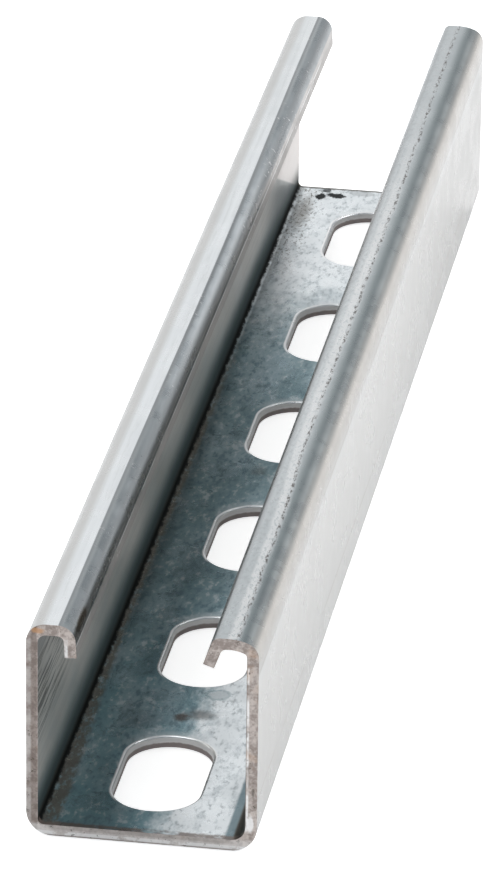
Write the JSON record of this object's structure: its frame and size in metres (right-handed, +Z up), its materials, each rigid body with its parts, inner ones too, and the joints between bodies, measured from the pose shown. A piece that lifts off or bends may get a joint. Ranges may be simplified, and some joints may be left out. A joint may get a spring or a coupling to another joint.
{
  "type": "slotted strut channel",
  "caption": "Roll-formed galvanised steel strut channel, square in section with inturned lips, its web punched with a row of round-ended slots.",
  "frame": {"origin": "middle of the underside of the web, on the floor", "axes": "+Y along the length, away from the end by the first slot; +X across, towards the right wall; +Z up, through the open mouth"},
  "size_m": [0.0412, 0.3048, 0.0413],
  "materials": {
    "galvanised_steel": "pre-galvanised, spangled and scuffed, with bare grey steel at the cut ends and in the slots"
  },
  "bodies": {
    "root": {"strut_channel": "galvanised_steel"}
  },
  "joints": []
}
